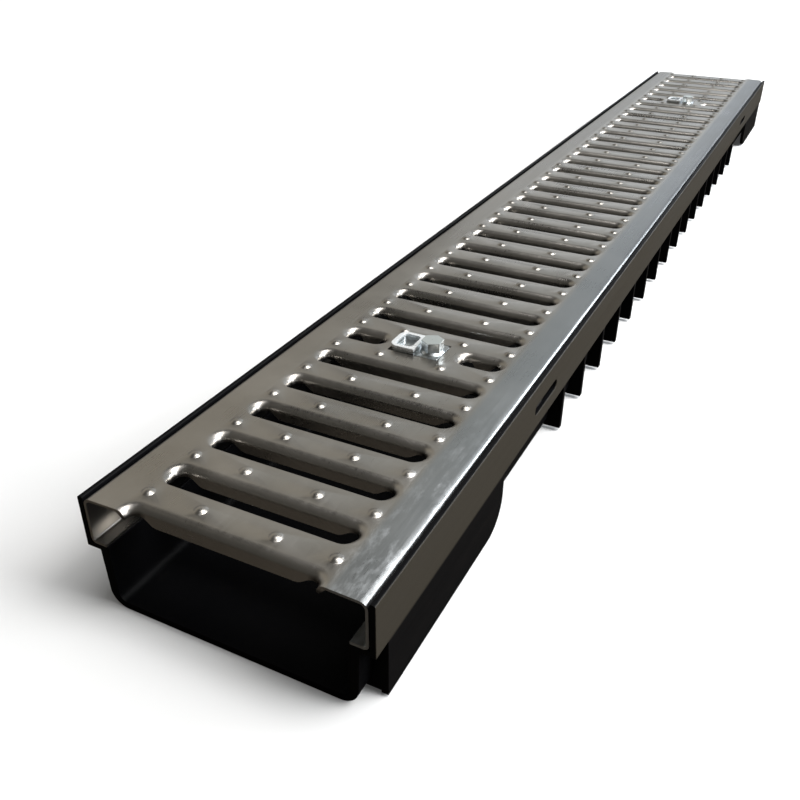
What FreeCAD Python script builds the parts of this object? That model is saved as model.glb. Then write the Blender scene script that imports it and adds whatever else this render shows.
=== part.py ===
import FreeCAD, Part
import math
import os

os.makedirs("parts", exist_ok=True)
V = FreeCAD.Vector

# Frame: X across the drain, Y along it, Z up, origin under the middle of the base. Millimetres.

# Overall sizes
length = 1000.0
overall_width = 131.0
overall_height = 53.0

# Channel moulding
rim_wall = 2.4
rim_drop = 0.4
rim_depth = 24.8
shelf_thick = 2.4
trough_step = 6.7
trough_draft = 1.0
trough_wall = 4.0
trough_floor = 3.0
trough_corner = 8.0
side_plate_thick = 3.0
side_plate_setback = 9.0
side_plate_length = 113.0
side_plate_lift = 0.8
side_plate_corner = 16.0
rib_thick = 3.6
rib_bays = 26
rib_end_gap = 200.0
rib_lift = 2.0

# Folded steel grate
seat_clearance = 0.4
sheet = 1.2
fold_radius = 2.6
lip_width = 7.6
slot_count = 35
slot_length = 86.0
slot_near = 4.9
slot_far = 6.5
flap_depth = 8.6
flap_radius = 2.6
flap_end_gap = 5.8
dimple_rows = (16.9, 42.3)
dimple_base = 2.3
dimple_crown = 1.0
dimple_height = 0.9
dimple_sides = 5
bend_steps = 2
slot_end_steps = 5

# Bolted fixings
fixing_slot = 6
fixing_bolt_x = 6.0
seat_half = 16.0
seat_sink = 1.6
seat_reach = 8.9
seat_wall = 1.6
plate_length = 27.0
plate_width = 17.0
plate_thick = 1.6
plate_corner = 4.5
plate_rim = 2.2
plate_rim_rise = 3.0
plate_bolt_edge = 6.2
bolt_size = 6.0
bolt_hole = 6.6
bolt_across_flats = 10.0
bolt_head = 5.2
bolt_flange = 6.4
bolt_flange_thick = 1.2
bolt_tail = 2.0
nut_across_flats = 10.0
nut_height = 5.0
bar_thick = 3.0
bar_width = 14.0
bar_end_inset = 1.5
bar_drop = 12.6
window_length = 33.0
window_height = 5.6
window_shift = 6.0
window_slack = 0.6

# Derived sizes
rim_half = overall_width / 2
rim_top = overall_height - rim_drop
shelf_under = overall_height - rim_depth
shelf_top = shelf_under + shelf_thick
trough_top_half = rim_half - trough_step
trough_base_half = trough_top_half - trough_draft
grate_half = rim_half - rim_wall - seat_clearance
grate_under = overall_height - sheet
pitch = length / slot_count
slot_radius = (slot_near + slot_far) / 2
bar_top = overall_height - bar_drop
bar_bottom = bar_top - bar_thick
window_z = bar_top - bar_thick / 2
seat_floor_top = overall_height - seat_sink
fixing_y = (fixing_slot * pitch - length / 2, (slot_count - fixing_slot) * pitch - length / 2)


def box(x0, x1, y0, y1, z0, z1):
    return Part.makeBox(x1 - x0, y1 - y0, z1 - z0, V(x0, y0, z0))


def rounded_edges(points):
    """Edges of a closed outline of (point, corner radius), each corner rounded by its arc."""
    starts = []
    ends = []
    arcs = []
    count = len(points)
    for i in range(count):
        corner, radius = points[i]
        before = points[i - 1][0].sub(corner).normalize()
        after = points[(i + 1) % count][0].sub(corner).normalize()
        half = before.getAngle(after) / 2
        if radius == 0:
            starts.append(corner)
            ends.append(corner)
            arcs.append(None)
            continue
        run = radius / math.tan(half)
        middle = before.add(after).normalize()
        reach = radius / math.sin(half) - radius
        starts.append(corner.add(before * run))
        ends.append(corner.add(after * run))
        arcs.append(corner.add(middle * reach))
    edges = []
    for i in range(count):
        if arcs[i] is not None:
            edges.append(Part.Arc(starts[i], arcs[i], ends[i]).toShape())
        following = starts[(i + 1) % count]
        if ends[i].distanceToPoint(following) > 1e-6:
            edges.append(Part.makeLine(ends[i], following))
    return edges


def profile_face(points):
    return Part.Face(Part.Wire(rounded_edges(points)))


def along_drain(section):
    """Extrude a section, given as (x, z, radius) corners, over the whole length."""
    points = [(V(x, -length / 2, z), r) for x, z, r in section]
    return profile_face(points).extrude(V(0, length, 0))


def both_sides(right):
    """Close a half section listed from the middle outwards with its mirror image."""
    left = [(-x, z, r) for x, z, r in reversed(right)]
    return right + left


def polygon_face(points):
    return Part.Face(Part.makePolygon(points + points[:1]))


def arc_points(x, y, radius, start, stop, steps):
    """Points along an arc, angles in degrees."""
    angles = [math.radians(start + (stop - start) * i / steps) for i in range(steps + 1)]
    return [(x + radius * math.cos(a), y + radius * math.sin(a)) for a in angles]


def obround_x(x0, x1, y0, y1, z0, z1):
    """Slot with faceted round ends that runs along X and is cut through in Z."""
    radius = (y1 - y0) / 2
    middle = (y0 + y1) / 2
    outline = arc_points(x1 - radius, middle, radius, -90, 90, slot_end_steps)
    outline += arc_points(x0 + radius, middle, radius, 90, 270, slot_end_steps)
    return polygon_face([V(x, y, z0) for x, y in outline]).extrude(V(0, 0, z1 - z0))


def obround_y(x0, x1, y_mid, run, z_mid, height):
    """Slot with round ends that runs along Y and is cut through in X."""
    corners = [(-run / 2, -height / 2), (run / 2, -height / 2), (run / 2, height / 2), (-run / 2, height / 2)]
    points = [(V(x0, y_mid + y, z_mid + z), height / 2 * 0.999) for y, z in corners]
    return profile_face(points).extrude(V(x1 - x0, 0, 0))


def hexagon(x, y, z, across_flats, height):
    radius = across_flats / math.sqrt(3)
    corners = [V(x + radius * math.cos(math.radians(60 * i + 30)), y + radius * math.sin(math.radians(60 * i + 30)), z)
               for i in range(7)]
    return Part.Face(Part.makePolygon(corners)).extrude(V(0, 0, height))


def side_plate(side, end):
    """Skirt under the rim at one end of the channel, with the cross web that closes its end."""
    outer = side * rim_half
    inner = side * (rim_half - side_plate_thick)
    start = length / 2 - side_plate_setback
    stop = start - side_plate_length
    corners = [(start, side_plate_lift, 0), (start, shelf_under + 0.5, 0), (stop, shelf_under + 0.5, 0),
               (stop, side_plate_lift, side_plate_corner)]
    points = [(V(inner, end * y, z), r) for y, z, r in corners]
    skirt = profile_face(points).extrude(V(outer - inner, 0, 0))
    web_inner = side * (trough_base_half - trough_wall / 2)
    x0, x1 = sorted((web_inner, inner + side * 0.5))
    y0, y1 = sorted((end * start, end * (start - side_plate_thick)))
    web = box(x0, x1, y0, y1, rib_lift, shelf_under + 0.5)
    return [skirt, web]


def ribs(side):
    """Cross ribs between the trough wall and the rim, evenly spaced between the end skirts."""
    step = length / rib_bays
    solids = []
    x0, x1 = sorted((side * (trough_base_half - trough_wall / 2), side * rim_half))
    for i in range(rib_bays):
        y = (i + 0.5) * step - length / 2
        if abs(y) > length / 2 - rib_end_gap:
            continue
        solids.append(box(x0, x1, y - rib_thick / 2, y + rib_thick / 2, rib_lift, shelf_under + 0.5))
    return solids


def channel():
    inner_top = trough_top_half - trough_wall
    inner_base = trough_base_half - trough_wall
    outside = [(trough_base_half, 0, trough_corner), (trough_top_half, shelf_under, 0), (rim_half, shelf_under, 0),
               (rim_half, rim_top, 0.8), (rim_half - rim_wall, rim_top, 0.6), (rim_half - rim_wall, shelf_top, 0),
               (inner_top, shelf_top, 0), (inner_base, trough_floor, trough_corner - trough_wall)]
    body = along_drain(both_sides(outside))
    extras = []
    for side in (-1, 1):
        extras += ribs(side)
        for end in (-1, 1):
            extras += side_plate(side, end)
    body = body.fuse(extras)
    windows = []
    for y in fixing_y:
        for side in (-1, 1):
            x0, x1 = sorted((side * (rim_half - rim_wall - 1), side * (rim_half + 1)))
            windows.append(obround_y(x0, x1, y + window_shift, window_length, window_z, window_height))
    return body.cut(windows)


def flap(x0, x1, y):
    """Front edge of one bar, bent down over a radius into the slot."""
    bend = y + slot_far
    low = overall_height - flap_depth
    centre = overall_height - flap_radius
    overlap = 0.4
    outline = [(bend + overlap, overall_height)]
    outline += arc_points(bend, centre, flap_radius, 90, 180, bend_steps)
    outline += [(bend - flap_radius, low), (bend - flap_radius + sheet, low)]
    outline += arc_points(bend, centre, flap_radius - sheet, 180, 90, bend_steps)
    outline += [(bend + overlap, grate_under)]
    return polygon_face([V(x0, cy, cz) for cy, cz in outline]).extrude(V(x1 - x0, 0, 0))


def dimple(x, y):
    """Low pressed stud, faceted to keep the sheet light."""
    foot = arc_points(x, y, dimple_base, 0, 360, dimple_sides)
    crown = arc_points(x, y, dimple_crown, 0, 360, dimple_sides)
    low = Part.makePolygon([V(px, py, overall_height) for px, py in foot])
    high = Part.makePolygon([V(px, py, overall_height + dimple_height) for px, py in crown])
    return Part.makeLoft([low, high], True, True)


def grate():
    outside = [(grate_half, overall_height, fold_radius), (grate_half, shelf_top, 1.2 + sheet),
               (grate_half - lip_width, shelf_top, 0), (grate_half - lip_width, shelf_top + sheet, 0),
               (grate_half - sheet, shelf_top + sheet, 1.2), (grate_half - sheet, grate_under, fold_radius - sheet)]
    body = along_drain(both_sides(outside))
    cuts = []
    adds = []
    edge = slot_length / 2
    for i in range(slot_count + 1):
        y = i * pitch - length / 2
        spans = [(-edge, edge)]
        if i in (fixing_slot, slot_count - fixing_slot):
            spans = [(-edge, -seat_half), (seat_half, edge)]
        for x0, x1 in spans:
            cuts.append(obround_x(x0, x1, y - slot_near, y + slot_far, grate_under - 1, overall_height + 1))
            if i < slot_count:
                inset = slot_radius + flap_end_gap
                adds.append(flap(x0 + inset, x1 - inset, y))
    for y in fixing_y:
        seat_x0 = fixing_bolt_x - plate_length + plate_bolt_edge - 0.4
        seat_x1 = fixing_bolt_x + bolt_flange + 0.6
        cuts.append(box(seat_x0, seat_x1, y - seat_reach, y + seat_reach, seat_floor_top, overall_height + 1))
        outer = (seat_x0 - seat_wall, seat_x1 + seat_wall, y - seat_reach - seat_wall, y + seat_reach + seat_wall)
        pan = box(*outer, seat_floor_top - sheet, grate_under + 0.2)
        pan = pan.cut(box(seat_x0, seat_x1, y - seat_reach, y + seat_reach, seat_floor_top, overall_height))
        adds.append(pan)
    for i in range(slot_count):
        y = (i + 0.5) * pitch - length / 2
        for x in dimple_rows:
            adds.append(dimple(x, y))
            adds.append(dimple(-x, y))
    body = body.cut(cuts)
    body = body.fuse(adds)
    holes = []
    for y in fixing_y:
        holes.append(Part.makeCylinder(bolt_hole / 2, 20, V(fixing_bolt_x, y, overall_height - 15)))
        for side in (-1, 1):
            x0, x1 = sorted((side * (grate_half - sheet - 3), side * (grate_half + 1)))
            holes.append(obround_y(x0, x1, y + window_shift, window_length + 2 * window_slack, window_z,
                                   window_height + 2 * window_slack))
    return body.cut(holes)


def rounded_block(x0, x1, y0, y1, z0, z1, left_corner, right_corner):
    corners = [(x0, y0, left_corner), (x1, y0, right_corner), (x1, y1, right_corner), (x0, y1, left_corner)]
    return profile_face([(V(px, py, z0), r) for px, py, r in corners]).extrude(V(0, 0, z1 - z0))


def clamp_plate(y):
    """Pressed plate under the bolt head, with a raised rim round its free end."""
    x1 = fixing_bolt_x + plate_bolt_edge
    x0 = x1 - plate_length
    rim_x1 = fixing_bolt_x - bolt_flange - seat_clearance
    y0 = y - plate_width / 2
    y1 = y + plate_width / 2
    top = seat_floor_top + plate_thick
    plate = rounded_block(x0, x1, y0, y1, seat_floor_top, top, plate_corner, plate_corner / 2)
    rim = rounded_block(x0, rim_x1, y0, y1, top - 0.5, top + plate_rim_rise, plate_corner, 0)
    pocket = rounded_block(x0 + plate_rim, rim_x1 - plate_rim, y0 + plate_rim, y1 - plate_rim, top, top + 5,
                           plate_corner - plate_rim, plate_corner - plate_rim)
    plate = plate.fuse(rim.cut(pocket))
    return plate.cut(Part.makeCylinder(bolt_hole / 2, 10, V(fixing_bolt_x, y, seat_floor_top - 5)))


def locking_bar(y):
    half = rim_half - bar_end_inset
    corners = [(-half, y - bar_width / 2), (half, y - bar_width / 2), (half, y + bar_width / 2), (-half, y + bar_width / 2)]
    bar = profile_face([(V(px, py, bar_bottom), 4.0) for px, py in corners]).extrude(V(0, 0, bar_thick))
    return bar.cut(Part.makeCylinder(bolt_hole / 2, 10, V(fixing_bolt_x, y, bar_bottom - 3)))


def bolt(y):
    """Flanged hexagon bolt whose flange bears on the clamp plate."""
    seat = seat_floor_top + plate_thick
    flange = Part.makeCone(bolt_flange, bolt_across_flats / 2, bolt_flange_thick, V(fixing_bolt_x, y, seat))
    head_base = seat + bolt_flange_thick
    head = hexagon(fixing_bolt_x, y, head_base, bolt_across_flats, bolt_head)
    tip = bar_bottom - nut_height - bolt_tail
    shank = Part.makeCylinder(bolt_size / 2, seat - tip + 0.5, V(fixing_bolt_x, y, tip))
    return flange.fuse([head, shank])


def nut(y):
    body = hexagon(fixing_bolt_x, y, bar_bottom - nut_height, nut_across_flats, nut_height)
    return body.cut(Part.makeCylinder(bolt_size / 2, 20, V(fixing_bolt_x, y, bar_bottom - 10)))


def save(shape, node):
    shape = shape.removeSplitter()
    if len(shape.Solids) == 1:
        shape = shape.Solids[0]
    shape.exportStep("parts/" + node + ".step")


save(channel(), "channel")
save(grate(), "grate")
for place, station in zip(("front", "rear"), fixing_y):
    save(clamp_plate(station), place + "_clamp_plate")
    save(locking_bar(station), place + "_locking_bar")
    save(bolt(station), place + "_bolt")
    save(nut(station), place + "_nut")
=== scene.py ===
import math

import bmesh
import bpy
from mathutils import Matrix, Vector
from mathutils.geometry import delaunay_2d_cdt


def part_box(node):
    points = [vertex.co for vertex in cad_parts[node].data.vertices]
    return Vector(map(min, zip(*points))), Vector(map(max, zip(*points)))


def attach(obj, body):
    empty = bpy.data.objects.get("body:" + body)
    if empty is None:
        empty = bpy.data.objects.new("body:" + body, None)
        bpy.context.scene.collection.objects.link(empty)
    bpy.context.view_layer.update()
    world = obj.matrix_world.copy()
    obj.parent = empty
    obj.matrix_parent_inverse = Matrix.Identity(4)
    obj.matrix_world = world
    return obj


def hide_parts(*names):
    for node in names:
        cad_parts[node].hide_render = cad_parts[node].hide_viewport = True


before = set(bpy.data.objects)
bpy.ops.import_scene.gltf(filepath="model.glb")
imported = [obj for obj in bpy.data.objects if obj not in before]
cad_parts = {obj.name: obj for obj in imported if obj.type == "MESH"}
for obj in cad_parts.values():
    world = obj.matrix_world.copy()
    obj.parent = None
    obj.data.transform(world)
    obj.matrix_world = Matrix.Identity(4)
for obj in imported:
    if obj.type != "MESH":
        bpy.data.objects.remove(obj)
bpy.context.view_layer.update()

bl_info = {
    "name": "Linear drain",
    "version": (1, 0, 0),
    "blender": (4, 5, 0),
    "location": "View3D > Sidebar > Drain",
    "description": "Dresses the packed linear drain and sets up its studio",
    "category": "Object",
}

MM = 0.001
PLACES = ("front", "rear")
SIDES = (-1, 1)


def mm(first, second):
    """Limits of a mask in metres, given in millimetres."""
    return (first * MM, second * MM)


# Fineness of the meshes

WELD = 0.002 * MM
SHARP_ANGLE = math.radians(35.0)
BEND_STEPS = 6
ROUND_STEPS = 18
RAMP_STEPS = 6
FLAP_RUNS = 6
DIMPLE_SIDES = 14
HOLE_SIDES = 20

# Dimple from the foot up, in shares of its radius and height
DIMPLE_PROFILE = ((1.0, 0.0), (0.92, 0.10), (0.78, 0.40), (0.58, 0.72), (0.32, 0.93))
# Share of a slot's round end over which the sheared edge turns into the rolled one
SHEAR_SHARE = 0.35
# A slot shorter than a whole one divided by this has shorter slanted ends on its flap
SHORT_GAIN = 1.6
# Stretches of a flange between its cuts that hold a window
WINDOW_ROWS = (1, 3)

# Usual range of a noise, and whole range of a mask
NOISE_RANGE = (0.3, 0.7)
WHOLE = (0.0, 1.0)

# Masks across and along the grate, each from where it starts to where it is full
RUBBED_SIDE = mm(40.0, 52.0)
RUBBED_FRONT = mm(-340.0, -460.0)
# Slot ends, where painted shade darkens the walls below the deck
SLOT_END_INNER = mm(36.0, 39.0)
SLOT_END_OUTER = mm(52.0, 48.0)
REARWARD = mm(-350.0, 150.0)
# Side strips, where a painted reflection tints the right one and painted shade darkens the left one further
# back
RIGHT_STRIP = mm(45.5, 48.5)
LEFT_STRIP = mm(-45.5, -48.5)
# Start of the painted shade below the flaps, along the drain
UNDER_FLAP_SHADE_START = mm(-490.0, -470.0)
# Masks by depth below the top of the grate, for the painted shade in the slot ends and below the flaps
SLOT_SHADE_DEPTH = mm(1.6, 3.4)
UNDER_FLAP_SHADE_DEPTH = mm(7.2, 9.0)
# Masks by height above the solid dimples, for the painted lit tone on the bolts' tops and the plates' rims
BOLT_LIT_TOP = mm(4.9, 5.4)
PLATE_LIT_RIM = mm(0.3, 1.4)
# Masks of the rims, in from their outer faces and up from the base, for their paler outer faces: partly
# dust, partly painted sheen
RIM_FACE = mm(0.4, 0.1)
RIM_FOOT = mm(27.5, 29.0)
# Masks of the floor: along the drain for the painted shadow at the front, and away from its middle
FRONT_FLOOR_SHADOW = mm(-250.0, -450.0)
FLOOR_FAR = mm(550.0, 1600.0)

# Sky zones, as the parts of a direction between which one zone turns into the next

MIDDLE_TURN = (-0.6, -0.15)
LOW_TURN = (-0.32, -0.12)
HIGH_TURN = (-0.2, 0.15)
LOW_TO_MIDDLE = (0.10, 0.42)
MIDDLE_TO_HIGH = (0.66, 0.80)
STRIP_LEFT = (-0.12, -0.05)
STRIP_RIGHT = (0.42, 0.25)
STRIP_TOP = (0.46, 0.36)
FRONTWARD = (-0.10, -0.40)

# Stage

SENSOR_WIDTH = 36.0
CLIP_START = 0.01
FLOOR_REACH = 6.0
FLOOR_DROP = 0.2 * MM
# Lamps as name, place, target, width, height, watts and colour
LAMPS = (
    ("overhead", (0.5, -0.15, 1.6), (0.0, 0.0, 0.0), 0.7, 1.3, 15.0, (1.0, 0.99, 0.97)),
    ("right_high", (1.05, 0.0, 1.25), (0.0, -0.2, 0.05), 0.8, 1.2, 23.0, (1.0, 0.99, 0.98)),
    ("right_window", (1.4, -0.2, 0.9), (0.0, -0.1, 0.0), 0.5, 1.4, 12.0, (0.94, 0.97, 1.0)),
    ("right_back", (1.3, 1.5, 0.75), (0.06, 0.0, 0.05), 1.2, 0.65, 22.0, (0.88, 0.94, 1.0)),
    ("rear_strip", (-0.2, 1.9, 0.5), (0.0, 0.3, 0.05), 1.6, 0.5, 1.4, (0.92, 0.96, 1.0)),
)


# Properties

def size(name, description, value):
    """Length property in metres, given in millimetres."""
    return bpy.props.FloatProperty(name=name, description=description, default=value * MM, unit="LENGTH",
                                   precision=5)


def degrees(name, description, value):
    """Angle property in radians, given in degrees."""
    return bpy.props.FloatProperty(name=name, description=description, default=math.radians(value),
                                   subtype="ANGLE")


def shade(name, description, value):
    """Colour property."""
    return bpy.props.FloatVectorProperty(name=name, description=description, default=value, subtype="COLOR",
                                         size=3, min=0.0, max=4.0)


class DrainGrate(bpy.types.PropertyGroup):
    """Sizes and finish of the stamped grate."""
    slots: bpy.props.IntProperty(name="Slots", description="Slot pitches in the length", default=35)
    fixing: bpy.props.IntProperty(name="Fixing slot", description="Slot that each fixing interrupts",
                                  default=6)
    sheet: size("Sheet", "Thickness of the steel", 1.2)
    fold: size("Fold", "Outer radius of the long folds", 3.4)
    lip: size("Lip", "Width of the turned-in lip", 7.6)
    lip_fold: size("Lip fold", "Outer radius of the lip's fold", 2.4)
    slot_length: size("Slot length", "Slot from end to end with its rolled ends", 92.6)
    near: size("Near edge", "Slot centre to its sheared edge", 7.3)
    far: size("Far edge", "Slot centre to the start of the flap's bend", 8.6)
    flap_bend: size("Flap bend", "Outer radius of the flap's bend", 3.9)
    flap_depth: size("Flap depth", "Top of the grate to the flap's lower edge", 7.0)
    flap_slope: size("Flap slope", "Length of the slanted end of a flap", 7.0)
    flap_lean: bpy.props.FloatProperty(name="Flap lean", description="Lean of a flap towards its slot",
                                       default=0.22)
    end_roll: size("End roll", "Radius of the rolled slot ends", 4.0)
    end_depth: size("End depth", "Depth of the rolled slot ends", 4.1)
    shear: size("Sheared edge", "Rounding of the sheared edge", 0.25)
    seat_half: size("Seat", "Half the length between the two short slots at a fixing", 17.6)
    strip: size("Strip", "Start of the plain side strips from the middle", 46.5)
    strip_fall: degrees("Strip fall", "Slope of the plain side strips", 1.8)
    dimple_inner: size("Inner dimples", "Inner dimple row from the middle", 16.9)
    dimple_outer: size("Outer dimples", "Outer dimple row from the middle", 42.3)
    dimple_radius: size("Dimple radius", "Foot of one dimple", 3.1)
    dimple_height: size("Dimple height", "Height of one dimple", 1.15)
    dimple_cad: size("Solid dimple", "Height of the dimples on the CAD solid", 0.9)
    seat_sink: size("Seat depth", "Depth of the pan at a fixing", 1.6)
    seat_reach: size("Seat reach", "Half the pan's size along the drain", 8.9)
    seat_slack: size("Seat slack", "Room round the clamp plate in its pan", 0.4)
    bolt_hole: size("Bolt hole", "Bolt hole in the pan", 6.6)
    window_length: size("Window length", "Length of the flange windows", 34.2)
    window_height: size("Window height", "Height of the flange windows", 6.8)
    window_shift: size("Window shift", "Window centre behind the bolt", 6.0)
    window_drop: size("Window drop", "Window centre below the top", 14.1)
    colour: shade("Steel", "Base colour of the galvanised sheet", (0.46, 0.435, 0.40))
    rubbed: shade("Rubbed corner", "Colour of the rubbed near right corner", (0.92, 0.93, 0.95))
    # Painted reflection: the right side strip's colours stand in for the light its slope mirrors, paler at
    # the front and darker further back
    near_strip_reflection: shade("Near strip", "Tint of the right side strip at the front", (0.37, 0.40, 0.42))
    far_strip_reflection: shade("Far strip", "Tint of the right side strip further back", (0.22, 0.24, 0.265))
    # Painted shade: near-black colour for the slot ends and the space below the flaps
    painted_shade: shade("Painted shade", "Colour of the grime in the slots", (0.02, 0.02, 0.02))


class DrainFixing(bpy.types.PropertyGroup):
    """Finish of the bolted fixings."""
    colour: shade("Zinc", "Base colour of the plated pieces", (0.60, 0.63, 0.64))
    # Painted light: tones for the bolts' tops and the clamp plates' raised rims, standing in for the light
    # they catch
    bolt_lit_top: shade("Lit bolt top", "Colour of the painted lit tops of the bolts", (0.40, 0.43, 0.42))
    plate_lit_rim: shade("Lit plate rim", "Colour of the painted lit rims of the clamp plates", (0.80, 0.82, 0.83))
    bar_colour: shade("Bar", "Base colour of the coated locking bars", (0.012, 0.012, 0.013))


class DrainChannel(bpy.types.PropertyGroup):
    """Finish of the moulded channel."""
    colour: shade("Plastic", "Base colour of the moulding", (0.003, 0.003, 0.0035))
    dust: shade("Dust", "Colour of the dusty patches", (0.010, 0.009, 0.008))
    # Partly dust, partly painted sheen on the rims' outer faces
    rim_sheen_and_dust: shade("Rim sheen and dust", "Colour of the outer faces of the rims", (0.038, 0.033, 0.025))


class DrainStage(bpy.types.PropertyGroup):
    """Camera, floor and light."""
    eye: bpy.props.FloatVectorProperty(name="Eye", description="Camera place", subtype="TRANSLATION",
                                       default=(0.1652, -0.6808, 0.2554))
    heading: degrees("Heading", "Turn to the left of the +Y direction", 26.75)
    tilt: degrees("Tilt", "Look down from the horizon", 30.94)
    roll: degrees("Roll", "Roll of the camera", 0.3)
    lens: bpy.props.FloatProperty(name="Lens", description="Focal length in millimetres", default=38.67)
    floor: shade("Floor", "Colour of the floor", (0.86, 0.86, 0.86))
    bounce: shade("Bounce", "Colour of the floor in reflections and bounced light", (0.055, 0.048, 0.04))
    low_sky: shade("Low sky", "Light that comes from near the horizon", (0.45, 0.49, 0.54))
    left_sky: shade("Left sky", "Light from near the horizon further left", (0.24, 0.24, 0.24))
    mid_sky: shade("Middle sky", "Light from half height", (0.43, 0.405, 0.35))
    cool_sky: shade("Cool sky", "Light from half height on the right", (0.45, 0.48, 0.49))
    high_sky: shade("High sky", "Light from above on the right", (0.9, 0.92, 0.95))
    dark_sky: shade("Dark sky", "Light from above on the left", (0.03, 0.03, 0.03))
    strip_sky: shade("Strip sky", "Light that the right side strip mirrors", (0.20, 0.22, 0.245))
    front_sky: shade("Front sky", "Light from the front", (0.085, 0.083, 0.076))


# Node helpers

class Nodes:
    """Short hand for building a node tree."""

    def __init__(self, tree):
        self.tree = tree
        tree.nodes.clear()

    def add(self, kind, **inputs):
        node = self.tree.nodes.new(kind)
        for key, value in inputs.items():
            self.put(node.inputs[key.replace("_", " ")], value)
        return node

    def put(self, socket, value):
        if isinstance(value, bpy.types.NodeSocket):
            self.tree.links.new(value, socket)
        else:
            socket.default_value = value

    def coordinates(self):
        return self.add("ShaderNodeTexCoord").outputs["Object"]

    def axes(self, vector):
        """The X, Y and Z parts of a vector."""
        parts = self.add("ShaderNodeSeparateXYZ", Vector=vector)
        return [parts.outputs[axis] for axis in "XYZ"]

    def stretched(self, scale):
        mapping = self.add("ShaderNodeMapping", Vector=self.coordinates())
        mapping.inputs["Scale"].default_value = scale
        return mapping.outputs["Vector"]

    def noise(self, vector, scale, detail=4.0, roughness=0.55):
        node = self.add("ShaderNodeTexNoise", Vector=vector, Scale=scale, Detail=detail, Roughness=roughness)
        return node.outputs["Fac"]

    def span(self, value, limits, start=0.0, stop=1.0):
        """Runs from start at the first limit to stop at the second, and stays level beyond them."""
        node = self.add("ShaderNodeMapRange", Value=value)
        node.inputs["From Min"].default_value = limits[0]
        node.inputs["From Max"].default_value = limits[1]
        node.inputs["To Min"].default_value = start
        node.inputs["To Max"].default_value = stop
        return node.outputs["Result"]

    def math(self, operation, a, b=0.0):
        node = self.tree.nodes.new("ShaderNodeMath")
        node.operation = operation
        self.put(node.inputs[0], a)
        self.put(node.inputs[1], b)
        return node.outputs[0]

    def times(self, a, b):
        return self.math("MULTIPLY", a, b)

    def mix(self, share, a, b):
        node = self.tree.nodes.new("ShaderNodeMix")
        node.data_type = "RGBA"
        self.put(node.inputs["Factor"], share)
        self.put(node.inputs["A"], a)
        self.put(node.inputs["B"], b)
        return node.outputs["Result"]

    def bump(self, height, strength, distance, normal=None):
        node = self.add("ShaderNodeBump", Height=height, Strength=strength, Distance=distance)
        if normal is not None:
            self.put(node.inputs["Normal"], normal)
        return node.outputs["Normal"]

    def edge(self, radius):
        """Normal softened over the sharp edges within a radius."""
        node = self.add("ShaderNodeBevel", Radius=radius)
        node.samples = 6
        return node.outputs["Normal"]

    def surface(self, shader):
        out = self.tree.nodes.new("ShaderNodeOutputMaterial")
        self.tree.links.new(shader, out.inputs["Surface"])


def colour4(value, gain=1.0):
    return (value[0] * gain, value[1] * gain, value[2] * gain, 1.0)


def new_material(name):
    material = bpy.data.materials.new(name)
    material.use_nodes = True
    return material, Nodes(material.node_tree)


# Finishes

def steel_material(p, top):
    """Galvanised sheet with grain, cloudy spangle and a rubbed corner, with a painted reflection on the
    right side strip, painted shade on the left strip further back, and painted shade in the slots.
    """
    material, n = new_material("galvanised_sheet")
    place = n.coordinates()
    x, y, z = n.axes(place)
    out = n.math("ABSOLUTE", x)
    depth = n.math("SUBTRACT", top, z)
    rearward = n.span(y, REARWARD)

    cloud = n.noise(place, 22.0, detail=5.0)
    spangle = n.add("ShaderNodeTexVoronoi", Vector=place, Scale=170.0).outputs["Color"]
    grain = n.noise(n.stretched((900.0, 30.0, 900.0)), 1.0, detail=3.0)
    base = n.mix(n.span(cloud, NOISE_RANGE), colour4(p.colour, 0.84), colour4(p.colour, 1.08))
    base = n.mix(n.times(spangle, 0.12), base, colour4(p.colour, 1.35))

    corner = n.times(n.span(x, RUBBED_SIDE), n.span(y, RUBBED_FRONT))
    smear = n.noise(n.stretched((120.0, 45.0, 60.0)), 1.0, detail=7.0, roughness=0.75)
    worn = n.times(corner, n.span(smear, (0.50, 0.66)))
    base = n.mix(n.times(worn, 0.6), base, colour4(p.rubbed))

    # Painted reflection tints the right side strip, and painted shade darkens the left strip further back
    tint = n.mix(rearward, colour4(p.near_strip_reflection), colour4(p.far_strip_reflection))
    base = n.mix(n.span(x, RIGHT_STRIP, stop=0.65), base, tint)
    far_left_shade = n.times(rearward, n.span(x, LEFT_STRIP, stop=0.4))
    base = n.mix(far_left_shade, base, colour4(p.colour, 0.3))

    # Painted shade: the walls of the slot ends below the deck and everything below the flaps are darkened
    # towards near black
    ends = n.times(n.span(out, SLOT_END_INNER), n.span(out, SLOT_END_OUTER))
    painted_shade = n.times(ends, n.span(depth, SLOT_SHADE_DEPTH, stop=0.85))
    inner = n.times(n.span(y, UNDER_FLAP_SHADE_START), n.span(depth, UNDER_FLAP_SHADE_DEPTH, stop=0.95))
    base = n.mix(n.math("MAXIMUM", painted_shade, inner), base, colour4(p.painted_shade))

    rough = n.math("ADD", n.span(cloud, NOISE_RANGE, 0.26, 0.36), n.times(worn, 0.18))
    rough = n.math("ADD", rough, n.span(grain, NOISE_RANGE, -0.03, 0.03))
    normal = n.bump(grain, 0.04, 0.2 * MM)
    shader = n.add("ShaderNodeBsdfPrincipled", Base_Color=base, Metallic=1.0, Roughness=rough, Normal=normal)
    n.surface(shader.outputs["BSDF"])
    return material


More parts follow.
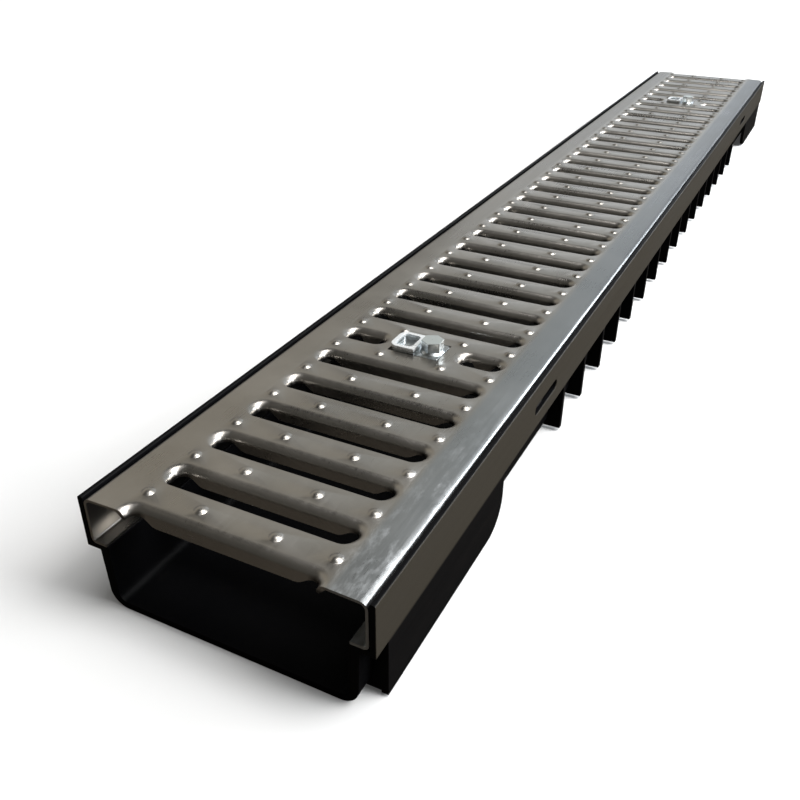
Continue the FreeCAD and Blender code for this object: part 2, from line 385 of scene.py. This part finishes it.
def zinc_material(name, colour, lit_top_colour, limits):
    """Bright plated steel with a little mottling, with a painted lit tone above a height between two limits.
    """
    material, n = new_material(name)
    place = n.coordinates()
    mottle = n.noise(place, 120.0, detail=3.0)
    # Painted light: above the limits the zinc takes a less metallic tone of its own colour, for the lit tops
    # and raised rims
    rubbed = n.span(n.axes(place)[2], limits)
    base = n.mix(n.span(mottle, (0.35, 0.65)), colour4(colour, 0.85), colour4(colour, 1.05))
    base = n.mix(rubbed, base, colour4(lit_top_colour))
    rough = n.span(mottle, NOISE_RANGE, 0.26, 0.32)
    metal = n.span(rubbed, WHOLE, 1.0, 0.45)
    shader = n.add("ShaderNodeBsdfPrincipled", Base_Color=base, Metallic=metal, Roughness=rough)
    n.put(shader.inputs["Normal"], n.edge(0.3 * MM))
    n.surface(shader.outputs["BSDF"])
    return material


def coated_material(colour):
    """Black coated steel, a little uneven."""
    material, n = new_material("dark_bar")
    place = n.coordinates()
    cloud = n.noise(place, 90.0)
    base = n.mix(cloud, colour4(colour, 0.7), colour4(colour, 1.5))
    rough = n.span(cloud, NOISE_RANGE, 0.45, 0.6)
    normal = n.bump(n.noise(place, 1500.0, detail=2.0), 0.15, 0.1 * MM)
    shader = n.add("ShaderNodeBsdfPrincipled", Base_Color=base, Roughness=rough, Normal=normal)
    n.surface(shader.outputs["BSDF"])
    return material


def plastic_material(p, half):
    """Black moulded polypropylene with flow marks and dusty patches; the outer faces of its rims are paler
    near the top, partly dust and partly painted sheen.
    """
    material, n = new_material("moulding")
    place = n.coordinates()
    x, _, z = n.axes(place)
    flow = n.noise(n.stretched((30.0, 6.0, 60.0)), 1.0, detail=5.0)
    pore = n.noise(place, 1400.0, detail=2.0)
    dust = n.span(n.noise(place, 60.0, detail=6.0, roughness=0.7), (0.55, 0.8), stop=0.35)
    base = n.mix(dust, colour4(p.colour), colour4(p.dust))
    inset = n.math("SUBTRACT", half, n.math("ABSOLUTE", x))
    # Partly dust, partly painted sheen: the rims' outer faces turn paler brown above their foot
    rim_sheen_and_dust = n.times(n.span(inset, RIM_FACE), n.span(z, RIM_FOOT))
    base = n.mix(rim_sheen_and_dust, base, colour4(p.rim_sheen_and_dust))
    rough = n.span(flow, NOISE_RANGE, 0.36, 0.5)
    normal = n.bump(pore, 0.12, 0.2 * MM, n.edge(0.6 * MM))
    shader = n.add("ShaderNodeBsdfPrincipled", Base_Color=base, Roughness=rough, Normal=normal)
    n.put(shader.inputs["Specular IOR Level"], n.span(rim_sheen_and_dust, WHOLE, 0.05, 0.3))
    n.surface(shader.outputs["BSDF"])
    return material


def floor_material(p):
    """Pale matt floor, near white to the camera, with a painted shadow that makes it a little darker at the
    front, and dark in reflections.
    """
    material, n = new_material("studio_floor")
    place = n.coordinates()
    # Painted shadow: the floor's colour is darker towards the front
    front = n.span(n.axes(place)[1], FRONT_FLOOR_SHADOW)
    base = n.mix(front, colour4(p.floor), colour4(p.floor, 0.84))
    seen = n.add("ShaderNodeLightPath").outputs["Is Camera Ray"]
    diffuse = n.add("ShaderNodeBsdfDiffuse", Color=n.mix(seen, colour4(p.bounce), base))
    away = n.add("ShaderNodeVectorMath", Vector=place)
    away.operation = "LENGTH"
    lift = n.times(seen, n.span(away.outputs["Value"], FLOOR_FAR, 0.05, 0.6))
    glow = n.add("ShaderNodeEmission", Color=(1.0, 1.0, 1.0, 1.0), Strength=lift)
    both = n.add("ShaderNodeAddShader")
    n.put(both.inputs[0], diffuse.outputs["BSDF"])
    n.put(both.inputs[1], glow.outputs["Emission"])
    n.surface(both.outputs["Shader"])
    return material


def paint(obj, material):
    obj.data.materials.clear()
    obj.data.materials.append(material)


# Mesh helpers

class Sheet:
    """Collects vertices and faces of one mesh."""

    def __init__(self):
        self.points = []
        self.faces = []
        self.flat = set()

    def ring(self, points):
        """Adds a row of points and returns their numbers."""
        start = len(self.points)
        self.points.extend(points)
        return list(range(start, len(self.points)))

    def strip(self, first, second, closed):
        """Faces between two rows of points."""
        count = len(first)
        steps = count if closed else count - 1
        for i in range(steps):
            j = (i + 1) % count
            self.faces.append((first[i], first[j], second[j], second[i]))

    def object(self, name):
        """Object of the welded mesh, smooth but for its flat faces and sharp edges."""
        mesh = bpy.data.meshes.new(name)
        mesh.from_pydata(self.points, [], self.faces)
        work = bmesh.new()
        work.from_mesh(mesh)
        for index, face in enumerate(work.faces):
            face.smooth = index not in self.flat
        bmesh.ops.remove_doubles(work, verts=work.verts, dist=WELD)
        bmesh.ops.recalc_face_normals(work, faces=work.faces)
        work.to_mesh(mesh)
        work.free()
        mesh.validate()
        mesh.set_sharp_from_angle(angle=SHARP_ANGLE)
        obj = bpy.data.objects.new(name, mesh)
        bpy.context.collection.objects.link(obj)
        return obj


def eased(part):
    """Soft step from 0 to 1."""
    return part * part * (3 - 2 * part)


def arc(x, y, radius, start, stop, steps=BEND_STEPS):
    """Points on an arc between two angles in degrees."""
    angles = [math.radians(start + (stop - start) * i / steps) for i in range(steps + 1)]
    return [(x + radius * math.cos(angle), y + radius * math.sin(angle)) for angle in angles]


def circle(x, y, radius, count):
    return arc(x, y, radius, 0.0, 360.0, count)[:-1]


def inside(loop, point):
    """Whether a flat point lies inside a closed loop."""
    within = False
    for i in range(len(loop)):
        x0, y0 = loop[i - 1][:2]
        x1, y1 = loop[i][:2]
        if (y0 > point.y) != (y1 > point.y):
            if point.x < x0 + (point.y - y0) * (x1 - x0) / (y1 - y0):
                within = not within
    return within


def extent(loop):
    """Least and greatest x and y of a loop."""
    xs = [point[0] for point in loop]
    ys = [point[1] for point in loop]
    return min(xs), max(xs), min(ys), max(ys)


def fill_deck(sheet, loops, creases, z, upward):
    """Flat sheet inside the first loop, left open inside the others, with an edge along each crease."""
    points = []
    edges = []
    for start_point, end_point in creases:
        edges.append((len(points), len(points) + 1))
        points.extend((Vector(start_point), Vector(end_point)))
    for loop in loops:
        start = len(points)
        points.extend(Vector((q[0], q[1])) for q in loop)
        edges.extend((start + i, start + (i + 1) % len(loop)) for i in range(len(loop)))
    flat, _, faces, _, _, _ = delaunay_2d_cdt(points, edges, [], 0, 1e-8)
    extents = [extent(loop) for loop in loops]
    start = len(sheet.points)
    sheet.points.extend((v.x, v.y, z) for v in flat)
    for face in faces:
        corners = [start + i for i in face]
        a, b, c = (flat[i] for i in face[:3])
        middle = (a + b + c) / 3
        within = [loop for loop, (x0, x1, y0, y1) in zip(loops, extents)
                  if x0 <= middle.x <= x1 and y0 <= middle.y <= y1 and inside(loop, middle)]
        if within != loops[:1]:
            continue
        if ((b - a).cross(c - a) > 0) != upward:
            corners.reverse()
        sheet.flat.add(len(sheet.faces))
        sheet.faces.append(corners)


# Grate

def slot_outline(p, x0, x1, y):
    """Deck edge of one slot, anticlockwise from its near right corner.

    Each point is (x, y, outward x, outward y, roll, depth).
    """
    radius = (p.near + p.far) / 2
    middle = y + (p.far - p.near) / 2
    left = x0 + radius
    right = x1 - radius
    slope = p.flap_slope * min(1.0, (x1 - x0) / p.slot_length * SHORT_GAIN)
    outline = []

    def flap_point(x, roll, depth):
        outline.append((x, middle + radius, 0.0, 1.0, roll, depth))

    def round_end(x, start):
        """Half round, from the sheared edge to the roll or back."""
        for i in range(ROUND_STEPS + 1):
            turn = i / ROUND_STEPS
            angle = start + math.pi * turn
            from_near = turn if start < 0 else 1 - turn
            ease = eased(min(1.0, from_near / SHEAR_SHARE))
            roll = p.shear + (p.end_roll - p.shear) * ease
            depth = p.sheet + (p.end_depth - p.sheet) * ease
            nx = math.cos(angle)
            ny = math.sin(angle)
            outline.append((x + radius * nx, middle + radius * ny, nx, ny, roll, depth))

    def ramp(x, direction):
        """Slanted end of the flap, from the rolled slot end to its full depth."""
        for i in range(1, RAMP_STEPS + 1):
            ease = eased(i / RAMP_STEPS)
            roll = p.end_roll + (p.flap_bend - p.end_roll) * ease
            depth = p.end_depth + (p.flap_depth - p.end_depth) * ease
            flap_point(x + direction * slope * i / RAMP_STEPS, roll, depth)

    round_end(right, -math.pi / 2)
    ramp(right, -1.0)
    flap_right = right - slope
    flap_left = left + slope
    for i in range(1, FLAP_RUNS):
        flap_point(flap_right + (flap_left - flap_right) * i / FLAP_RUNS, p.flap_bend, p.flap_depth)
    tail = len(outline)
    ramp(left, 1.0)
    outline[tail:] = reversed(outline[tail:])
    round_end(left, math.pi / 2)
    return outline


def rim_rings(p, outline, top):
    """Rings from the deck down the rolled edge, round its lower edge and back under the sheet."""
    rings = []
    for i in range(BEND_STEPS + 1):
        angle = math.pi / 2 * i / BEND_STEPS
        ring = []
        for x, y, nx, ny, roll, depth in outline:
            inward = roll * math.sin(angle)
            ring.append((x - nx * inward, y - ny * inward, top - roll * (1 - math.cos(angle))))
        rings.append(ring)
    lower = []
    back = []
    for x, y, nx, ny, roll, depth in outline:
        reach = roll + p.flap_lean * max(0.0, depth - roll)
        lower.append((x - nx * reach, y - ny * reach, top - depth))
        reach = max(0.0, reach - p.sheet)
        back.append((x - nx * reach, y - ny * reach, top - depth))
    under = [(point[0], point[1], top - p.sheet) for point in outline]
    return rings + [lower, back, under]


def add_rim(sheet, p, outline, top, closed):
    """Rolled edge of a slot, with its two cut ends closed where the slot is open."""
    rings = [sheet.ring(ring) for ring in rim_rings(p, outline, top)]
    for first, second in zip(rings, rings[1:]):
        sheet.strip(first, second, closed)
    if not closed:
        for end in (0, -1):
            sheet.faces.append([ring[end] for ring in rings])


def clip_outline(outline, y, keep_above):
    """Part of a slot outline on one side of an end of the drain, in order along the remaining edge."""
    half = len(outline) // 2
    turned = outline if keep_above else outline[half:] + outline[:half]
    sign = 1.0 if keep_above else -1.0
    kept = []
    for first, second in zip(turned, turned[1:]):
        before = sign * (first[1] - y)
        after = sign * (second[1] - y)
        if before >= 0:
            kept.append(first)
        if (before >= 0) != (after >= 0):
            part = before / (before - after)
            kept.append(tuple(a + (b - a) * part for a, b in zip(first, second)))
    return kept


def add_seat(sheet, p, low, high, bolt, top):
    """Shallow pressed pan that a clamp plate lies in. Returns its edges in the deck's top and underside."""
    y = (low[1] + high[1]) / 2
    hole = circle(bolt[0], bolt[1], p.bolt_hole / 2, HOLE_SIDES)
    edges = []
    rims = []
    for wall, level, upward in ((0.0, 0.0, True), (p.sheet, p.sheet, False)):
        left = low[0] - p.seat_slack - wall
        right = high[0] + p.seat_slack + wall
        near = y - p.seat_reach - wall
        far = y + p.seat_reach + wall
        edge = [(left, near), (right, near), (right, far), (left, far)]
        bottom = top - p.seat_sink - level
        upper_ring = sheet.ring([(a, b, top - level) for a, b in edge])
        lower_ring = sheet.ring([(a, b, bottom) for a, b in edge])
        sheet.strip(upper_ring, lower_ring, True)
        fill_deck(sheet, [edge, hole], [], bottom, upward)
        rims.append(sheet.ring([(a, b, bottom) for a, b in hole]))
        edges.append(edge)
    sheet.strip(rims[0], rims[1], True)
    return edges


def add_dimple(sheet, p, x, y, top):
    """Small pressed dome with a soft foot. Returns its foot in the deck."""
    rings = []
    for reach, rise in DIMPLE_PROFILE:
        around = circle(x, y, p.dimple_radius * reach, DIMPLE_SIDES)
        rings.append(sheet.ring([(a, b, top + p.dimple_height * rise) for a, b in around]))
    for first, second in zip(rings, rings[1:]):
        sheet.strip(first, second, True)
    crown = sheet.ring([(x, y, top + p.dimple_height)])[0]
    last = rings[-1]
    for i in range(DIMPLE_SIDES):
        sheet.faces.append((last[i], last[(i + 1) % DIMPLE_SIDES], crown))
    return circle(x, y, p.dimple_radius, DIMPLE_SIDES)


def add_flange(sheet, p, side, half, top, under, cuts):
    """Long fold, upright flange and turned-in lip on one side, with windows for the bar ends."""
    hole_top = top - p.window_drop + p.window_height / 2
    hole_low = top - p.window_drop - p.window_height / 2
    fold_x = half - p.fold
    fold_z = top - p.fold
    lip_x = half - p.lip_fold
    lip_z = under + p.lip_fold
    inner = half - p.sheet
    section = arc(fold_x, fold_z, p.fold, 90.0, 0.0)
    wall = len(section)
    section += [(half, hole_top), (half, hole_low)]
    section += arc(lip_x, lip_z, p.lip_fold, 0.0, -90.0)
    section += [(half - p.lip, under), (half - p.lip, under + p.sheet)]
    section += arc(lip_x, lip_z, p.lip_fold - p.sheet, -90.0, 0.0)
    back_wall = len(section)
    section += [(inner, hole_low), (inner, hole_top)]
    section += arc(fold_x, fold_z, p.fold - p.sheet, 0.0, 90.0)
    rows = [sheet.ring([(side * x, y, z) for x, z in section]) for y in cuts]
    count = len(section)
    for row, (first, second) in enumerate(zip(rows, rows[1:])):
        for i in range(count - 1):
            if row in WINDOW_ROWS and i in (wall, back_wall):
                continue
            quad = (first[i], first[i + 1], second[i + 1], second[i])
            sheet.faces.append(quad if side < 0 else quad[::-1])
        if row in WINDOW_ROWS:
            for i, j in ((wall, back_wall + 1), (wall + 1, back_wall)):
                sheet.faces.append((first[i], second[i], second[j], first[j]))
            for end in (first, second):
                sheet.faces.append((end[wall], end[wall + 1], end[back_wall], end[back_wall + 1]))
    for end in (rows[0], rows[-1]):
        for i in range(count // 2 - 1):
            j = count - 1 - i
            sheet.faces.append((end[i], end[i + 1], end[j - 1], end[j]))


class DRAIN_OT_grate(bpy.types.Operator):
    """Builds the stamped grate with its bent flaps, rolled slot ends and dimples"""
    bl_idname = "drain.grate"
    bl_label = "Build grate"

    def add_slots(self, sheet, p, front, pitch, top):
        """Rims of all the slots. Returns the outlines of the whole slots and of the cut ones at the ends."""
        edge = p.slot_length / 2
        whole = []
        ends = []
        for i in range(p.slots + 1):
            y = front + i * pitch
            spans = [(-edge, edge)]
            if i in (p.fixing, p.slots - p.fixing):
                spans = [(-edge, -p.seat_half), (p.seat_half, edge)]
            for x0, x1 in spans:
                outline = slot_outline(p, x0, x1, y)
                cut = i in (0, p.slots)
                if cut:
                    outline = clip_outline(outline, y, i == 0)
                    ends.append(outline)
                else:
                    whole.append(outline)
                add_rim(sheet, p, outline, top, not cut)
        return whole, ends

    def add_dimples(self, sheet, p, front, pitch, top):
        """Four rows of dimples between the slots. Returns their feet in the deck."""
        feet = []
        for i in range(p.slots):
            y = front + (i + 0.5) * pitch
            for x in (-p.dimple_outer, -p.dimple_inner, p.dimple_inner, p.dimple_outer):
                feet.append(add_dimple(sheet, p, x, y, top))
        return feet

    def add_seats(self, sheet, p, top):
        """Pans of both fixings. Returns their edges in the deck's top and in its underside."""
        upper = []
        lower = []
        for place in PLACES:
            bolt_low, bolt_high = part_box(place + "_bolt")
            bolt = [(a + b) / 2 for a, b in zip(bolt_low, bolt_high)]
            plate_low, plate_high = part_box(place + "_clamp_plate")
            over, below = add_seat(sheet, p, plate_low, plate_high, bolt, top)
            upper.append(over)
            lower.append(below)
        return upper, lower

    def flange_cuts(self, p, front, rear, pitch):
        """Both ends of the drain and of the flange windows, from front to rear."""
        cuts = [front]
        for y in (front + p.fixing * pitch, rear - p.fixing * pitch):
            middle = y + p.window_shift
            cuts += [middle - p.window_length / 2, middle + p.window_length / 2]
        return cuts + [rear]

    def add_end_edges(self, sheet, p, ends, deck, top):
        """Cut edges of the deck at both ends, from the cut slots to the folds."""
        for end in ends:
            for corner in (end[0], end[-1]):
                side = math.copysign(1.0, corner[0])
                xs = (corner[0], side * p.strip, side * deck)
                rims = [sheet.ring([(x, corner[1], z) for x in xs]) for z in (top, top - p.sheet)]
                sheet.strip(rims[0], rims[1], False)

    def crowned(self, p, point, rear, top, under):
        """Lets the side strips fall away a little, less towards the lips, and trims the rear end flush."""
        x, y, z = point
        fall = max(0.0, abs(x) - p.strip) * math.tan(p.strip_fall)
        level = min(1.0, max(0.0, (z - under) / (top - under)))
        return (x, min(y, rear), z - fall * level)

    def execute(self, context):
        p = context.scene.drain_grate
        low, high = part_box("grate")
        half = high[0]
        front = low[1]
        rear = high[1]
        under = low[2]
        top = high[2] - p.dimple_cad
        pitch = (rear - front) / p.slots
        deck = half - p.fold
        sheet = Sheet()
        slots, ends = self.add_slots(sheet, p, front, pitch, top)
        feet = self.add_dimples(sheet, p, front, pitch, top)
        upper, lower = self.add_seats(sheet, p, top)
        cuts = self.flange_cuts(p, front, rear, pitch)
        border = [(deck, y) for y in cuts] + ends[1][::-1]
        border += [(-deck, y) for y in reversed(cuts)] + ends[0][::-1]
        creases = [((side * p.strip, front), (side * p.strip, rear)) for side in SIDES]
        fill_deck(sheet, [border] + slots + upper + feet, creases, top, True)
        fill_deck(sheet, [border] + slots + lower, creases, top - p.sheet, False)
        for side in SIDES:
            add_flange(sheet, p, side, half, top, under, cuts)
        self.add_end_edges(sheet, p, ends, deck, top)
        sheet.points = [self.crowned(p, point, rear, top, under) for point in sheet.points]
        grate = sheet.object("stamped_grate")
        paint(grate, steel_material(p, top))
        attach(grate, "root")
        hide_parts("grate")
        return {"FINISHED"}


# Channel and fixings

class DRAIN_OT_channel(bpy.types.Operator):
    """Finishes the moulded channel"""
    bl_idname = "drain.channel"
    bl_label = "Finish channel"

    def execute(self, context):
        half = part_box("channel")[1][0]
        paint(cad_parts["channel"], plastic_material(context.scene.drain_channel, half))
        return {"FINISHED"}


class DRAIN_OT_fixings(bpy.types.Operator):
    """Finishes the bolts, nuts, clamp plates and locking bars"""
    bl_idname = "drain.fixings"
    bl_label = "Finish fixings"

    def execute(self, context):
        p = context.scene.drain_fixing
        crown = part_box("grate")[1][2]
        # Heights above which the painted lit tone starts
        bolt_limits = [crown + limit for limit in BOLT_LIT_TOP]
        plate_limits = [crown + limit for limit in PLATE_LIT_RIM]
        bolt = zinc_material("zinc_bolt", p.colour, p.bolt_lit_top, bolt_limits)
        plate = zinc_material("zinc_plate", p.colour, p.plate_lit_rim, plate_limits)
        bar = coated_material(p.bar_colour)
        for place in PLACES:
            paint(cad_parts[place + "_bolt"], bolt)
            paint(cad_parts[place + "_nut"], bolt)
            paint(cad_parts[place + "_clamp_plate"], plate)
            paint(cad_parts[place + "_locking_bar"], bar)
        return {"FINISHED"}


# Camera, floor and light

def area_light(name, place, target, width, height, power, colour):
    data = bpy.data.lights.new(name, "AREA")
    data.shape = "RECTANGLE"
    data.size = width
    data.size_y = height
    data.energy = power
    data.color = colour
    obj = bpy.data.objects.new(name, data)
    obj.location = place
    obj.rotation_euler = (Vector(target) - Vector(place)).to_track_quat("-Z", "Y").to_euler()
    bpy.context.collection.objects.link(obj)
    obj.visible_camera = False


class DRAIN_OT_stage(bpy.types.Operator):
    """Sets up the camera, floor, sky and lamps"""
    bl_idname = "drain.stage"
    bl_label = "Set up studio"

    def camera(self, context, p):
        data = bpy.data.cameras.new("photo_camera")
        data.lens = p.lens
        data.sensor_width = SENSOR_WIDTH
        data.clip_start = CLIP_START
        camera = bpy.data.objects.new("photo_camera", data)
        turn = Matrix.Rotation(p.heading, 4, "Z") @ Matrix.Rotation(math.pi / 2 - p.tilt, 4, "X")
        turn = turn @ Matrix.Rotation(p.roll, 4, "Z")
        camera.matrix_world = Matrix.Translation(p.eye) @ turn
        context.collection.objects.link(camera)
        context.scene.camera = camera

    def floor(self, p):
        sheet = Sheet()
        corners = ((-1, -1), (1, -1), (1, 1), (-1, 1))
        sheet.faces.append(sheet.ring([(FLOOR_REACH * x, FLOOR_REACH * y, 0.0) for x, y in corners]))
        floor = sheet.object("studio_floor")
        floor.location.z = -FLOOR_DROP
        paint(floor, floor_material(p))

    def sky(self, context, p):
        """World that is white to the camera and lights the drain by zones."""
        world = bpy.data.worlds.new("studio_sky")
        world.use_nodes = True
        context.scene.world = world
        n = Nodes(world.node_tree)
        x, y, z = n.axes(n.add("ShaderNodeTexCoord").outputs["Generated"])
        middle = n.mix(n.span(x, MIDDLE_TURN), colour4(p.mid_sky), colour4(p.cool_sky))
        low = n.mix(n.span(x, LOW_TURN), colour4(p.left_sky), colour4(p.low_sky))
        high = n.mix(n.span(x, HIGH_TURN), colour4(p.dark_sky), colour4(p.high_sky))
        light = n.mix(n.span(z, LOW_TO_MIDDLE), low, middle)
        light = n.mix(n.span(z, MIDDLE_TO_HIGH), light, high)
        strip = n.times(n.span(x, STRIP_LEFT), n.span(x, STRIP_RIGHT))
        strip = n.times(strip, n.span(z, STRIP_TOP))
        light = n.mix(strip, light, colour4(p.strip_sky))
        light = n.mix(n.span(y, FRONTWARD), light, colour4(p.front_sky))
        seen = n.add("ShaderNodeLightPath").outputs["Is Camera Ray"]
        tint = n.mix(seen, light, (1.0, 1.0, 1.0, 1.0))
        background = n.add("ShaderNodeBackground", Color=tint, Strength=1.0)
        out = n.tree.nodes.new("ShaderNodeOutputWorld")
        n.tree.links.new(background.outputs["Background"], out.inputs["Surface"])

    def execute(self, context):
        p = context.scene.drain_stage
        self.camera(context, p)
        self.floor(p)
        self.sky(context, p)
        for lamp in LAMPS:
            area_light(*lamp)
        context.scene.view_settings.view_transform = "Standard"
        return {"FINISHED"}


class DRAIN_PT_panel(bpy.types.Panel):
    """Sidebar panel of the drain"""
    bl_idname = "DRAIN_PT_panel"
    bl_label = "Linear drain"
    bl_space_type = "VIEW_3D"
    bl_region_type = "UI"
    bl_category = "Drain"

    def draw(self, context):
        layout = self.layout
        for operator in ("drain.grate", "drain.channel", "drain.fixings", "drain.stage"):
            layout.operator(operator)
        scene = context.scene
        layout.prop(scene.drain_grate, "colour")
        layout.prop(scene.drain_channel, "colour")
        layout.prop(scene.drain_fixing, "colour")
        layout.prop(scene.drain_stage, "lens")


GROUPS = {
    "drain_grate": DrainGrate,
    "drain_fixing": DrainFixing,
    "drain_channel": DrainChannel,
    "drain_stage": DrainStage,
}
OPERATORS = [DRAIN_OT_grate, DRAIN_OT_channel, DRAIN_OT_fixings, DRAIN_OT_stage]
CLASSES = list(GROUPS.values()) + OPERATORS + [DRAIN_PT_panel]


def register():
    for item in CLASSES:
        bpy.utils.register_class(item)
    for name, group in GROUPS.items():
        setattr(bpy.types.Scene, name, bpy.props.PointerProperty(type=group))


def unregister():
    for name in GROUPS:
        delattr(bpy.types.Scene, name)
    for item in reversed(CLASSES):
        bpy.utils.unregister_class(item)


def main():
    register()
    bpy.ops.drain.grate()
    bpy.ops.drain.channel()
    bpy.ops.drain.fixings()
    bpy.ops.drain.stage()


if __name__ == "__main__":
    main()
